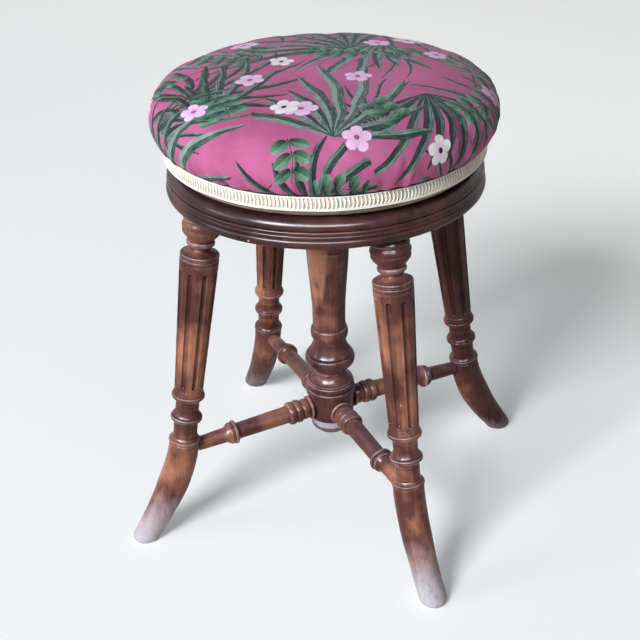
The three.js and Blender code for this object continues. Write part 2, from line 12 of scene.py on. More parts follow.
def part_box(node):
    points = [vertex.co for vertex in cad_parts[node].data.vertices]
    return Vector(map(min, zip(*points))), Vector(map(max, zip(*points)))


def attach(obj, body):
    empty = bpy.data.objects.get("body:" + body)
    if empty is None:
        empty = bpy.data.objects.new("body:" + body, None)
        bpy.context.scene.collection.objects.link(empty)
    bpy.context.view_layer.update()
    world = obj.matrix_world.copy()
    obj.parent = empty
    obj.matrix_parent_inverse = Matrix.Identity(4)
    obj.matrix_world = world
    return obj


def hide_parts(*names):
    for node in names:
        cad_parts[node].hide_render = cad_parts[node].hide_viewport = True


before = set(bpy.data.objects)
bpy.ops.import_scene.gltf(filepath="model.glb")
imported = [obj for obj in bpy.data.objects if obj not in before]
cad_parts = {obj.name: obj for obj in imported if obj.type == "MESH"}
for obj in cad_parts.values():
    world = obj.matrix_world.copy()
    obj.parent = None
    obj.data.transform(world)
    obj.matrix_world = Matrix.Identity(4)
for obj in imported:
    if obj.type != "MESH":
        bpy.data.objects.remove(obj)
scene = bpy.context.scene
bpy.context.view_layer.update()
mm = 0.001
tiny = 1e-9  # keeps a division from zero
mergeWithin = 1e-6  # in metres
quarters = dict(back_right=45, back_left=135, front_left=225, front_right=315)
print("frame loaded")


# camera, fitted to the photograph's 640 x 640 frame

cameraSetup = dict(
    turn=19.872, rise=30.291, roll=-1.639, distance=1.2518, aside=-0.00984,
    height=0.21303, lens=64.96, sensor=36, clipEnd=50,
)


def placeCamera(setup):
    turn, rise, roll = (radians(setup[key]) for key in ("turn", "rise", "roll"))
    back = Vector((sin(turn) * cos(rise), -cos(turn) * cos(rise), sin(rise)))
    right = Vector((cos(turn), sin(turn), 0))
    up = back.cross(right)
    seat = right * setup["aside"] + Vector((0, 0, setup["height"]))
    leanRight = right * cos(roll) + up * sin(roll)
    leanUp = up * cos(roll) - right * sin(roll)
    lens = data.cameras.new("camera")
    lens.lens, lens.sensor_width, lens.clip_end = setup["lens"], setup["sensor"], setup["clipEnd"]
    camera = data.objects.new("camera", lens)
    camera.matrix_world = Matrix.Translation(seat + back * setup["distance"]) @ Matrix(
        (leanRight, leanUp, back)).transposed().to_4x4()
    scene.collection.objects.link(camera)
    scene.camera = camera


placeCamera(cameraSetup)
print("camera placed")


# shader sums: an expression on wires adds its Math nodes

class Wire:
    def __init__(self, board, socket):
        self.board, self.socket = board, socket

    def sum(self, operation, *others):
        return self.board.node("Math", {"operation": operation}, [self, *others])

    __add__ = __radd__ = partialmethod(sum, "ADD")
    __sub__ = partialmethod(sum, "SUBTRACT")
    __mul__ = __rmul__ = partialmethod(sum, "MULTIPLY")
    __truediv__ = partialmethod(sum, "DIVIDE")
    __pow__ = partialmethod(sum, "POWER")
    __abs__ = partialmethod(sum, "ABSOLUTE")

    def __rsub__(self, other):
        return self.board.node("Math", {"operation": "SUBTRACT"}, [other, self])

    def over(self, low, high):  # 0 below low, 1 above high, soft between
        return self.board.node("MapRange", {"interpolation_type": "SMOOTHSTEP"},
                               {"Value": self, "From Min": low, "From Max": high})

    def under(self, low, high):
        return 1 - self.over(low, high)


class Board:  # a node tree being wired
    def __init__(self, tree):
        self.tree = tree
        tree.nodes.clear()

    def node(self, kind, settings=None, values=(), output=0):
        made = self.tree.nodes.new("ShaderNode" + kind)
        for name, value in (settings or {}).items():
            if name == "stops":
                ramp = made.color_ramp
                while len(ramp.elements) < len(value):
                    ramp.elements.new(0.5)
                for element, (place, colour) in zip(ramp.elements, value):
                    element.position, element.color = place, (*colour, 1)
            else:
                setattr(made, name, value)
        for socket, value in (values.items() if isinstance(values, dict) else enumerate(values)):
            if isinstance(value, Wire):
                self.tree.links.new(value.socket, made.inputs[socket])
            else:
                made.inputs[socket].default_value = value
        return Wire(self, made.outputs[output])

    def objectPlace(self):
        return self.node("TexCoord", output="Object")

    def number(self, name):  # a value kept at the mesh's points
        return self.node("Attribute", {"attribute_name": name}, output=2)

    def vector(self, name):
        return self.node("Attribute", {"attribute_name": name}, output="Vector")

    def parts(self, vector):
        split = self.node("SeparateXYZ", values=[vector])
        return [Wire(self, socket) for socket in split.socket.node.outputs]

    def stretched(self, vector, scale):
        return self.node("Mapping", values={"Vector": vector, "Scale": scale})

    def noise(self, vector, scale, detail=2.0, roughness=0.5, distortion=0.0):
        return self.node("TexNoise", values={
            "Vector": vector, "Scale": scale, "Detail": detail, "Roughness": roughness,
            "Distortion": distortion})

    def blend(self, mask, first, second):
        paint = lambda value: value if isinstance(value, Wire) else (*value, 1)
        return self.node("Mix", {"data_type": "RGBA"},
                         {0: mask, 6: paint(first), 7: paint(second)}, 2)

    def ramp(self, value, *stops):
        return self.node("ValToRGB", {"stops": stops}, [value])

    def end(self, wire, kind):
        output = self.tree.nodes.new("ShaderNodeOutput" + kind)
        self.tree.links.new(wire.socket, output.inputs[0])


class Paint(Board):  # a material being wired
    def __init__(self, name, **fixed):
        self.material = data.materials.new(name)
        self.material.use_nodes = True
        super().__init__(self.material.node_tree)
        shader = self.node("BsdfPrincipled")
        self.end(shader, "Material")
        self.inputs = shader.socket.node.inputs
        for socket, value in fixed.items():
            self.inputs[socket.replace("_", " ")].default_value = value

    def finish(self, colour, roughness, relief, depth, metallic=None):
        bump = self.node("Bump", values={"Strength": 1.0, "Distance": depth, "Height": relief})
        wires = {"Base Color": colour, "Roughness": roughness, "Metallic": metallic, "Normal": bump}
        for socket, wire in wires.items():
            if wire is not None:
                self.tree.links.new(wire.socket, self.inputs[socket])
        return self.material


# turning and shaping

def eased(share):
    return share * share * (3 - 2 * share)


class Outline:  # a turner's outline: places along the work with radii, in millimetres
    def __init__(self, place, radius):
        self.marks = [(place, radius)]

    def to(self, place, radius):
        self.marks.append((place, radius))
        return self

    def step(self, radius):
        return self.to(self.marks[-1][0], radius)

    def run(self, length, radius=None, spacing=3):
        place, start = self.marks[-1]
        end = start if radius is None else radius
        count = max(1, round(abs(length) / spacing))
        for i in range(1, count + 1):
            self.to(place + length * i / count, start + (end - start) * i / count)
        return self

    def curve(self, length, radius, bow, steps=9):  # round out at both ends, as a gouge leaves it
        place, start = self.marks[-1]
        for i in range(1, steps + 1):
            turn = pi * i / steps
            share = (1 - cos(turn)) / 2
            self.to(place + length * share, start + (radius - start) * share + bow * sin(turn))
        return self

    def bead(self, length, rise, steps=9):
        return self.curve(length, self.marks[-1][1], rise, steps)

    def ogee(self, length, radius, swell=0.0, steps=12):
        place, start = self.marks[-1]
        for i in range(1, steps + 1):
            share = i / steps
            self.to(place + length * share,
                    start + (radius - start) * eased(share) + swell * sin(pi * share))
        return self

    def line(self, depth=0.45, width=0.9):  # a line cut with the tip of the skew
        place, radius = self.marks[-1]
        return self.to(place + width / 2, radius - depth).to(place + width, radius)

    def cut(self, moves):  # each move names one of the above and gives its values
        for kind, *values in moves:
            getattr(self, kind)(*values)
        return self


def turned(marks, sides, closed=False, turns=1, pitch=0, within=mergeWithin):
    # turns an outline about the axis, or winds it up into a screw
    shape = bmesh.new()
    points = [shape.verts.new((radius * mm, 0, place * mm)) for place, radius in marks]
    pairs = list(zip(points, points[1:] + points[:1] if closed else points[1:]))
    lines = [shape.edges.new(pair) for pair in pairs]
    ops.spin(shape, geom=points + lines, axis=(0, 0, 1), dvec=(0, 0, pitch / sides * mm),
             angle=tau * turns, steps=sides * turns, use_merge=turns == 1)
    ops.remove_doubles(shape, verts=shape.verts, dist=within)
    ops.recalc_face_normals(shape, faces=shape.faces)
    return shape


def spun(shape, turn):
    ops.rotate(shape, matrix=Matrix.Rotation(turn, 3, "Z"), verts=shape.verts)
    return shape


def swept(shape, ring, last, frames):
    # draws a ring of edges on from frame to frame, and gives the last ring
    for new in frames:
        made = ops.extrude_edge_only(shape, edges=ring)["geom"]
        verts = [part for part in made if isinstance(part, bmesh.types.BMVert)]
        ops.transform(shape, matrix=new @ last.inverted(), verts=verts)
        ring = [part for part in made if isinstance(part, bmesh.types.BMEdge)]
        last = new
    return ring


def addPart(shape, part):
    mesh = data.meshes.new("part")
    part.to_mesh(mesh)
    part.free()
    shape.from_mesh(mesh)
    data.meshes.remove(mesh)


def asObject(name, shape):
    mesh = data.meshes.new(name)
    shape.to_mesh(mesh)
    shape.free()
    piece = data.objects.new(name, mesh)
    scene.collection.objects.link(piece)
    return piece


def carved(shape, cutter):
    work, tool = asObject("work", shape), asObject("tool", cutter)
    cut = work.modifiers.new("cut", "BOOLEAN")
    cut.operation, cut.object, cut.solver = "DIFFERENCE", tool, "MANIFOLD"
    done = bmesh.new()
    done.from_object(work, bpy.context.evaluated_depsgraph_get())
    for piece in (work, tool):
        mesh = piece.data
        data.objects.remove(piece)
        data.meshes.remove(mesh)
    return done


sharpest = 400  # bend in 1/m that counts as 1
easeAngle, easeSteps = 32, 2


def noteWear(shape, rounds=2):
    # how sharply the surface turns out (above zero) or in, for worn edges, and for dirt and painted
    # shade in the hollows
    bend = shape.verts.layers.float.new("bend")
    values = {}
    for vert in shape.verts:
        area = sum(face.calc_area() for face in vert.link_faces) / 3
        turn = sum(edge.calc_face_angle_signed(0) * edge.calc_length() for edge in vert.link_edges)
        values[vert] = max(-1, min(1, turn / (4 * area + tiny) / sharpest))
    for _ in range(rounds):
        blurred = {}
        for vert, value in values.items():
            near = [values[edge.other_vert(vert)] for edge in vert.link_edges]
            blurred[vert] = (value + sum(near) / len(near)) / 2
        values = blurred
    for vert, value in values.items():
        vert[bend] = value


def noteGrain(shape, toWood):
    # where each point lay in the billet, with Z along the grain
    grain = shape.verts.layers.float_vector.new("grain")
    for vert in shape.verts:
        vert[grain] = toWood @ vert.co


def mount(name, shape, material, body, bevel=None):
    # hangs a shape on its body, in place of the solid of the same name
    piece = asObject(name, shape)
    piece.data.materials.append(material)
    piece.data.shade_smooth()
    if bevel:
        ease = piece.modifiers.new("ease", "BEVEL")
        ease.width, ease.segments, ease.limit_method = bevel * mm, easeSteps, "ANGLE"
        ease.angle_limit, ease.harden_normals = radians(easeAngle), True
    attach(piece, body)
    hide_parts(name)


def mountWood(name, shape, material, toWood, bevel, rounds=2):
    noteWear(shape, rounds)
    noteGrain(shape, toWood)
    mount(name, shape, material, "base", bevel)


# finishes

woodLook = dict(
    dark=(0.03, 0.009, 0.007), mid=(0.118, 0.038, 0.026), light=(0.5, 0.21, 0.108),
    # grimeAndShade: dirt in the pores, and painted shade in the hollows
    worn=(0.49, 0.36, 0.35), bleached=(0.56, 0.525, 0.53), grimeAndShade=(0.01, 0.005, 0.004),
    # bloomAndSheen: dust, and a painted sheen of reflected window light, on what faces up
    bloomAndSheen=(0.34, 0.26, 0.31), bare=(0.56, 0.51, 0.53),
    # noise along the grain: stretch, scale, detail, roughness, distortion
    drift=(0.12, 34, 3), streak=(0.035, 330, 4, 0.62, 0.6), pores=(0.03, 1100, 1),
    scuff=(0.3, 45, 6, 0.7),
    # other noise: scale, detail, roughness
    patch=(16, 3, 0.6), rub=(70, 4, 0.65), chipped=(23, 1), specks=62.0,
    gloss=dict(IOR=1.12, Coat_Roughness=0.22, Coat_IOR=1.35,
               Coat_Tint=(0.9, 0.88, 1, 1)),
    relief=0.00018,
)
woods = dict(
    polishedWood=dict(tone=-0.21, wear=0.0, bloomAndSheen=0.04, polish=0.85),
    pillarWood=dict(
        tone=-0.05, wear=0.8, bloomAndSheen=0.06, polish=0.8,
        # lowest, highest, how much; and towards x and y, how near, lowest, highest, how much, for a
        # golden patch towards the window lamp that is partly painted light
        rim=(0.0835, 0.0935, 0.9), rubbedAndLitSide=(-0.344, -0.939, 0.0176, 0.23, 0.32, 0.24)),
    # feet are scuffed up to a height, and how much; the front pair's lighter tone and whiter feet
    # are partly painted light, the back pair's darker tone partly painted shade
    frontLegWoodLit=dict(tone=0.07, wear=0.95, bloomAndSheen=0.1, polish=0.6, feet=(0.065, 0.95)),
    backLegWoodShaded=dict(tone=-0.04, wear=0.6, bloomAndSheen=0.12, polish=0.5, feet=(0.03, 0.25)),
    railWood=dict(tone=0.05, wear=0.9, bloomAndSheen=0.22, polish=0.6),
)


def polishedWood(name, look, tone, wear, bloomAndSheen, polish, feet=None, rim=None, rubbedAndLitSide=None):
    board = Paint(name, Coat_Weight=polish, **look["gloss"])
    grain, bend, place = board.vector("grain"), board.number("bend"), board.objectPlace()
    x, y, height = board.parts(place)

    def along(layer):
        stretch, *rest = look[layer]
        return board.noise(board.stretched(grain, (1, 1, stretch)), *rest)

    drift, streak, pores = along("drift"), along("streak"), along("pores")
    patch, rub = board.noise(place, *look["patch"]), board.noise(place, *look["rub"])
    shade = drift * 0.42 + streak * 0.2 + patch * 0.95 - 0.275 + tone
    if rubbedAndLitSide:  # a patch handled down to golden wood, lightened towards the window lamp as painted light
        towardsX, towardsY, near, low, high, much = rubbedAndLitSide
        side = (x * towardsX + y * towardsY + (drift - 0.5) * 0.012).over(near, near + 0.002)
        side = side * height.over(low, low + 0.01)
        shade = shade + side * height.under(high - 0.02, high) * much
    if feet:  # painted shade: the legs' heads under the base are painted darker
        shade = shade - height.over(0.29, 0.33) * 0.15
    colour = board.ramp(shade, (0.24, look["dark"]), (0.5, look["mid"]), (0.76, look["light"]))
    upward = board.parts(board.node("NewGeometry", output="Normal"))[2]
    dustAndSheen = upward.over(0.15, 0.85) * rub.over(0.25, 0.75) * bloomAndSheen  # dust and a painted sheen on what faces up
    worn = bend.over(0.26, 0.6) * rub.over(0.3, 0.75) * wear
    # dirt and painted shade: the hollows and grooves are painted darker
    hollowGrimeAndShade = (bend * -1).over(0.16, 0.6) * 0.88
    for mask, over in ((pores.under(0.3, 0.42) * 0.3, "grimeAndShade"), (dustAndSheen, "bloomAndSheen"),
                       (hollowGrimeAndShade, "grimeAndShade"), (worn, "worn")):
        colour = board.blend(mask, colour, look[over])
    roughness = 0.34 + rub * 0.16 + worn * 0.3 + hollowGrimeAndShade * 0.25
    if rim:  # where the finish has gone from an edge
        low, high, much = rim
        edge = height + (rub - 0.5) * 0.005
        gone = edge.over(low, low + 0.001) * edge.under(high - 0.001, high)
        colour = board.blend(gone * rub.over(0.3, 0.45) * much, colour, look["bare"])
    specks = board.node("TexVoronoi", {"feature": "F1"}, {"Vector": place, "Scale": look["specks"]})
    chips = specks.under(0.055, 0.085) * board.noise(place, *look["chipped"]).over(0.57, 0.62)
    colour = board.blend(chips * 0.8, colour, look["bleached"])
    if feet:
        scuff, (high, much) = along("scuff"), feet
        scuffed = (height + (scuff - 0.5) * 0.11).under(0.0, high)
        scuffed = scuffed * scuff.over(0.25, 0.45) * much
        colour = board.blend(scuffed, colour, look["bleached"])
        roughness = roughness + scuffed * 0.3
    relief = pores * 0.2 + streak * 0.1 + rub * 0.35
    return board.finish(colour, roughness, relief, look["relief"])


bareLook = dict(
    dark=(0.1, 0.055, 0.038), mid=(0.3, 0.19, 0.13), light=(0.5, 0.38, 0.29),
    grainy=(420, 5, 0.65), stretch=(0.08, 1, 1), patch=(38, 4, 0.6), relief=0.0005,
)


def bareWood(name, look):
    board = Paint(name, IOR=1.45)
    place = board.objectPlace()
    grainy = board.noise(board.stretched(place, look["stretch"]), *look["grainy"])
    shade = grainy * 0.6 + board.noise(place, *look["patch"]) * 0.55 - 0.07
    colour = board.ramp(shade, (0.3, look["dark"]), (0.52, look["mid"]), (0.85, look["light"]))
    return board.finish(colour, 0.7 + grainy * 0.25, grainy, look["relief"])


ironLook = dict(
    dark=(0.138, 0.132, 0.126), light=(0.23, 0.22, 0.21), rust=(0.11, 0.045, 0.02),
    cloud=(120, 4, 0.6), spots=(60, 5, 0.7), relief=0.0002,
)


def ironMetal(name, look):
    board = Paint(name)
    place = board.objectPlace()
    cloud = board.noise(place, *look["cloud"])
    rust = board.noise(place, *look["spots"]).over(0.58, 0.72)
    paint = board.blend(cloud, look["dark"], look["light"])
    paint = board.blend(rust * 0.6, paint, look["rust"])
    return board.finish(paint, 0.34 + cloud * 0.2 + rust * 0.35, cloud, look["relief"],
                        1 - rust * 0.75)


wood, pillarWood, frontLegWoodLit, backLegWoodShaded, railWood = (
    polishedWood(name, woodLook, **look) for name, look in woods.items())
rawWood = bareWood("rawWood", bareLook)
iron = ironMetal("iron", ironLook)
print("finishes mixed")


# the round base: ovolo, two fine beads and a lip

baseSizes = dict(
    underside=378, thickness=27.5, hole=23.8, ovolo=(150.5, 4.6, 16),
    edge=[("step", 157.8), ("curve", 8.6, 157.6, 2.7, 12), ("bead", 4, 1.5), ("bead", 4, 1.5),
          ("step", 155.8)],
    recess=(40.3, 4.3), sides=144, bevel=0.5,
)


def makeBase(sizes):
    top = sizes["underside"] + sizes["thickness"]
    edge = Outline(sizes["underside"], sizes["hole"]).cut(sizes["edge"])
    edge.curve(top - edge.marks[-1][0], *sizes["ovolo"])
    radius, depth = sizes["recess"]
    edge.to(top, radius).to(top - depth, radius).to(top - depth, sizes["hole"])
    shape = turned(edge.marks, sizes["sides"], True)
    toWood = Matrix.Rotation(pi / 2, 4, "Y")
    mountWood("base_platform", shape, wood, toWood, sizes["bevel"], 1)


makeBase(baseSizes)
print("base turned")


# the pillar

pillarSizes = dict(
    bottom=73.5, waistTop=300.5, waist=(22.6, -1, 40), tenon=(401.2, 23.5),
    boss=(381.2, 17.3), bore=(264, 14.15), sides=64, bevel=0.3,
    billet=(0.09, 0.04, 0.3),
    lower=[
        # bare rim and drum
        ("step", 14), ("curve", 9.5, 22, 2.2, 14), ("run", 10.4, 24.4), ("step", 25),
        ("run", 0.6, 25.3, 1), ("run", 27.5, 26), ("bead", 8.4, 1.8, 14), ("line", 0.7, 1),
        ("step", 25), ("bead", 6.4, 1.3, 12), ("line", 0.7, 1),
        # cove, disc and bead
        ("run", 1.6, 24.6, 1), ("curve", 10.4, 17.8, -2.2, 16), ("run", 2.4),
        ("curve", 8.4, 24.8, -1.2, 12), ("curve", 11.6, 24.6, 2.7, 18), ("line", 1.5, 1.6),
        ("curve", 13.8, 18.2, -1.2, 16), ("run", 5), ("bead", 13, 2.3, 16), ("step", 18)],
    upper=[("bead", 5, 1.2), ("bead", 5, 1.2), ("run", 50.7, 23.4), ("curve", 9, 30, -1.5),
           ("run", 3.6), ("run", 3.6, 27, 2)],
)


def makePillar(sizes):
    out = Outline(sizes["bottom"], 0).cut(sizes["lower"])
    out.ogee(sizes["waistTop"] - out.marks[-1][0], *sizes["waist"]).cut(sizes["upper"])
    for part in ("tenon", "boss", "bore"):
        place, radius = sizes[part]
        out.step(radius).to(place, radius)
    shape = turned(out.step(0).marks, sizes["sides"])
    toWood = Matrix.Translation(sizes["billet"])
    mountWood("pillar", shape, pillarWood, toWood, sizes["bevel"])


makePillar(pillarSizes)
print("pillar turned")


# the legs: turned, fluted and swept out into sabre feet

legSizes = dict(
    head=378, spread=132, splay=9.25, length=270, reach=228, knee=49,
    start=0.3, shaft=(19.7, 15.1), shaftEnd=203, collar=16.1, sides=72, bevel=0.3,
    above=[
        ("step", 15), ("run", 6.3, 15.2), ("curve", 7, 18.6, 1.1, 12), ("step", 18.2),
        ("run", 0.7), ("run", 4.4, 19.9, 1), ("ogee", 3.6, 19.2, 0.2, 5), ("line", 0.4, 0.8),
        ("ogee", 12.6, 12.6, 1.3, 14), ("bead", 4.6, 1.7, 12), ("run", 3.4, 10.6, 1),
        ("curve", 5.6, 18, -2.4, 10), ("step", 19), ("bead", 4, 0.9, 10), ("line", 0.5, 0.8),
        ("bead", 5, 0.8, 10)],
    below=[
        ("line", 0.3, 0.8), ("ogee", 6, 16.4, 0, 8), ("bead", 4.4, 1.1, 10),
        ("curve", 8.6, 12.5, -1.2, 12), ("run", 4.8), ("curve", 8.2, 15.6, -1, 10),
        ("line", 0.5, 0.8), ("bead", 4.4, 1.3, 10), ("curve", 7.2, 12.8, -1.2, 10),
        ("run", 12.4), ("curve", 4.4, 15.8, -0.8, 8), ("bead", 4.6, 1.2, 10)],
    # how many, width, depth, what is left above and below, sides of the cutter
    flute=(8, 6, 2.4, 7.2, 3, 28),
    # share of the way down the foot, then depth and width: collar, calf, ankle, toe
    foot=[(0.0, (16.1, 16.1)), (0.48, (17.3, 15.4)), (0.82, (15.2, 14.2)), (1.0, (15.4, 14.4))],
    rings=26, standing=0.7, toeShift=1.2,
    # height over the floor, and share of the toe's size
    sole=[(5, 1), (3, 0.985), (1.5, 0.95), (0.5, 0.89), (0, 0.8)],
    billet=(0.11, 0.07, 0.5),
)
down = Vector((0, 0, -1))


def legOutline(sizes):
    top, bottom = sizes["shaft"]
    out = Outline(sizes["start"], 0).cut(sizes["above"]).step(top)
    shaftTop = out.marks[-1][0]
    out.run(sizes["shaftEnd"] - shaftTop, bottom, 2.4).cut(sizes["below"])
    return out.to(sizes["length"], sizes["collar"]).marks, shaftTop


def fluteCutters(sizes, shaftTop):
    count, width, depth, top, bottom, sides = sizes["flute"]
    radius = (width ** 2 / 4 + depth ** 2) / (2 * depth)
    topRadius, bottomRadius = sizes["shaft"]
    slope = (topRadius - bottomRadius) / (sizes["shaftEnd"] - shaftTop)
    first, last = shaftTop + top + radius, sizes["shaftEnd"] - bottom - radius
    cutters = bmesh.new()
    ops.create_uvsphere(cutters, u_segments=sides, v_segments=sides // 2, radius=radius * mm)
    lower = [vert for vert in cutters.verts if vert.co.z < -mergeWithin]
    ops.translate(cutters, vec=(0, 0, -(last - first) * mm), verts=lower)
    stand = topRadius - slope * (first - shaftTop) + radius - depth
    ops.rotate(cutters, matrix=Matrix.Rotation(atan(slope), 3, "Y"), verts=cutters.verts)
    ops.translate(cutters, vec=(stand * mm, 0, -first * mm), verts=cutters.verts)
    one = cutters.copy()
    for i in range(1, count):
        addPart(cutters, spun(one.copy(), tau * i / count))
    one.free()
    return cutters


def legLine(sizes):
    splay = radians(sizes["splay"])
    slope = Vector((sin(splay), 0, -cos(splay)))
    return Vector((sizes["spread"], 0, sizes["head"])), slope


def footPath(sizes, share):
    head, slope = legLine(sizes)
    start = head + slope * sizes["length"]
    knee = head + slope * (sizes["length"] + sizes["knee"])
    tread = Vector((sizes["reach"], 0, 0))
    back = 1 - share
    place = start * back * back + knee * 2 * back * share + tread * share * share
    way = (knee - start) * back + (tread - knee) * share
    return place, way.normalized()


def ringFrame(place, way, depth, width):
    # carries a unit ring to an oval at a place, looking down the way
    outward = Vector((-way.z, 0, way.x))
    turn = Matrix((outward, Vector((0, 1, 0)), -way)).transposed().to_4x4()
    return Matrix.Translation(place * mm) @ turn @ Matrix.Diagonal((depth, width, 1, 1))


def footFrames(sizes):
    stations, sole, standing = sizes["foot"], sizes["sole"], sizes["standing"]
    thick, frames = sole[0][0], []
    for i in range(sizes["rings"] + 1):
        share = i / sizes["rings"]
        after = next(k for k in range(1, len(stations)) if share <= stations[k][0] + tiny)
        (low, start), (high, end) = stations[after - 1], stations[after]
        mix = eased((share - low) / (high - low))
        size = (a + (b - a) * mix for a, b in zip(start, end))
        place, way = footPath(sizes, share)
        lift = max(0, (share - standing) / (1 - standing))
        way = (way * (1 - lift) + down * lift).normalized()
        frames.append(ringFrame(place + Vector((0, 0, thick * share)), way, *size))
    for height, share in sole[1:]:
        place = Vector((sizes["reach"] + sizes["toeShift"] * (1 - height / thick), 0, height))
        frames.append(ringFrame(place, down, *(size * share for size in stations[-1][1])))
    return frames


def makeLegShape(sizes):
    marks, shaftTop = legOutline(sizes)
    shape = turned([(-place, radius) for place, radius in marks], sizes["sides"])
    head, slope = legLine(sizes)
    splay = Matrix.Rotation(-radians(sizes["splay"]), 4, "Y")
    toPlane = Matrix.Translation(head * mm) @ splay
    ops.transform(shape, matrix=toPlane, verts=shape.verts)
    ring = [edge for edge in shape.edges if edge.is_boundary]
    first = ringFrame(head + slope * sizes["length"], slope, sizes["collar"], sizes["collar"])
    sole = swept(shape, ring, first, footFrames(sizes))
    ops.contextual_create(shape, geom=sole)
    ops.remove_doubles(shape, verts=shape.verts, dist=mergeWithin)
    ops.recalc_face_normals(shape, faces=shape.faces)
    cutters = fluteCutters(sizes, shaftTop)
    ops.transform(cutters, matrix=toPlane, verts=cutters.verts)
    shape = carved(shape, cutters)
    noteWear(shape)
    return shape, toPlane.inverted()


def makeLegs(sizes):
    master, toWood = makeLegShape(sizes)
    for i, (corner, turn) in enumerate(quarters.items()):
        shape = master.copy()
        billet = Matrix.Translation([part * i for part in sizes["billet"]])
        noteGrain(shape, billet @ toWood)
        spun(shape, radians(turn))
        legWood = frontLegWoodLit if "front" in corner else backLegWoodShaded
        mount("leg_" + corner, shape, legWood, "base", sizes["bevel"])
    master.free()


makeLegs(legSizes)
print("legs turned and fluted")


# the rails

railSizes = dict(
    height=108, fall=2, start=20, end=(161, 7.5), sides=40, bevel=0.3,
    outline=[
        ("step", 7), ("to", 25.7, 7), ("step", 12.2), ("bead", 3.2, 1), ("step", 9.6),
        ("bead", 9.4, 1.9), ("step", 10.8), ("bead", 8, 2.2), ("bead", 8, 2.2), ("step", 9.7),
        ("run", 60, 9.1), ("run", 2.4, 12.2, 1), ("bead", 3.4, 1), ("step", 10.6),
        ("bead", 5.4, 1.4), ("run", 3.6, 8.4, 1)],
    billet=(0.2, 0.3, 0), nextBillet=(0.13, 0, 0.4),
)


def makeRails(sizes):
    out = Outline(sizes["start"], 0).cut(sizes["outline"])
    end, radius = sizes["end"]
    out.run(end - out.marks[-1][0], radius).step(0)
    lay = Matrix.Translation((0, 0, sizes["height"] * mm)) @ Matrix.Rotation(
        radians(90 + sizes["fall"]), 4, "Y")
    billet, nextBillet = Vector(sizes["billet"]), Vector(sizes["nextBillet"])
    for i, (corner, turn) in enumerate(quarters.items()):
        shape = turned(out.marks, sizes["sides"])
        noteWear(shape)
        noteGrain(shape, Matrix.Translation(billet + nextBillet * i))
        place = Matrix.Rotation(radians(turn), 4, "Z") @ lay
        ops.transform(shape, matrix=place, verts=shape.verts)
        mount("rail_" + corner, shape, railWood, "base", sizes["bevel"])


makeRails(railSizes)
print("rails turned")


# the seat board, bare and a little rough

boardSizes = dict(thickness=20, radius=157, chamfer=(5, 6), recess=(42.3, 4.3),
                  pocket=(13.3, 2.3), sides=144, bevel=0.3,
                  rough=dict(most=0.35, below=8, beyond=150, seed=4))
cadBoardLow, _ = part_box("seat_board")


def makeBoard(sizes):
    bottom = cadBoardLow.z / mm
    recess, depth = sizes["recess"]
    pocket, deeper = sizes["pocket"]
    inset, height = sizes["chamfer"]
    radius, rough = sizes["radius"], sizes["rough"]
    out = Outline(bottom + depth + deeper, 0).step(pocket)
    out.to(bottom + depth, pocket).step(recess).to(bottom, recess).step(radius - inset)
    out.curve(height, radius, 1.2, 8).run(sizes["thickness"] - height, spacing=2).step(0)
    shape = turned(out.marks, sizes["sides"])
    chance = random.Random(rough["seed"])
    for vert in shape.verts:
        low = vert.co.z < cadBoardLow.z + rough["below"] * mm
        if low and vert.co.xy.length > rough["beyond"] * mm:
            vert.co.xy *= 1 + chance.uniform(-1, 0.2) * rough["most"] * mm / vert.co.xy.length
    mount("seat_board", shape, rawWood, "seat", sizes["bevel"])


makeBoard(boardSizes)
print("board cut")


# the lifting gear

ironSizes = dict(
    pitch=8, crest=11, root=8.6, crestWidth=2.9, flank=0.8, steps=40,
    turns=19, turnsBelowNut=15, screw=(272, 407.1), neck=9.4, neckSides=32,
    sunk=1, nutBottom=381.5, rivetFrom=413.3,
    rivet=[("step", 12.4), ("run", 0.5, 13, 1), ("curve", 1.5, 9, 0.6), ("step", 0)],
    sides=64,
    # body, bevel, and the heights and radii of each plate's corners
    plates=dict(
        thrust_washer=("washer", 0.25, [
            (405.8, 12.4), (405.8, 24), (407.3, 24), (407.3, 12.4)]),
        seat_flange=("seat", 0.4, [
            (407.6, 9.7), (407.6, 20), (409, 20), (409, 42), (413, 42), (413, 9.7)]),
        nut_plate=("base", 0.4, [
            (381.5, 11.5), (381.5, 17), (401.5, 17), (401.5, 40), (405.5, 40), (405.5, 11.5)])),
)


def makeScrew(sizes):
    pitch, width, flank = sizes["pitch"], sizes["crestWidth"], sizes["flank"]
    crest, root = sizes["crest"], sizes["root"]
    low, high = sizes["screw"]
    phase = sizes["nutBottom"] - pitch * sizes["turnsBelowNut"]
    profile = [(-width / 2, crest), (width / 2, crest), (width / 2 + flank, root),
               (pitch - width / 2 - flank, root), (pitch - width / 2, crest)]
    shape = turned([(phase + place, radius) for place, radius in profile], sizes["steps"],
                   turns=sizes["turns"], pitch=pitch, within=10 * mergeWithin)
    for place, way in ((low, -1), (high, 1)):
        whole = list(shape.verts) + list(shape.edges) + list(shape.faces)
        ops.bisect_plane(shape, geom=whole, plane_co=(0, 0, place * mm), plane_no=(0, 0, way),
                         clear_outer=True)
    rims = [edge for edge in shape.edges if edge.is_boundary]
    ops.holes_fill(shape, edges=rims, sides=0)
    ops.recalc_face_normals(shape, faces=shape.faces)
    neck = Outline(high - sizes["sunk"], 0).step(sizes["neck"])
    neck.to(sizes["rivetFrom"], sizes["neck"]).cut(sizes["rivet"])
    addPart(shape, turned(neck.marks, sizes["neckSides"]))
    mount("lift_screw", shape, iron, "seat")


def makePlates(sizes):
    for name, (body, bevel, marks) in sizes["plates"].items():
        mount(name, turned(marks, sizes["sides"], True), iron, body, bevel)
    for name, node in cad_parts.items():
        if "_screw_" in name:  # the wood screws stay as they are, in iron
            node.data.materials.clear()
            node.data.materials.append(iron)


makeScrew(ironSizes)
makePlates(ironSizes)
print("lifting gear fitted")


# the cushion: cloth blown up over its stuffing and gathered under the braid

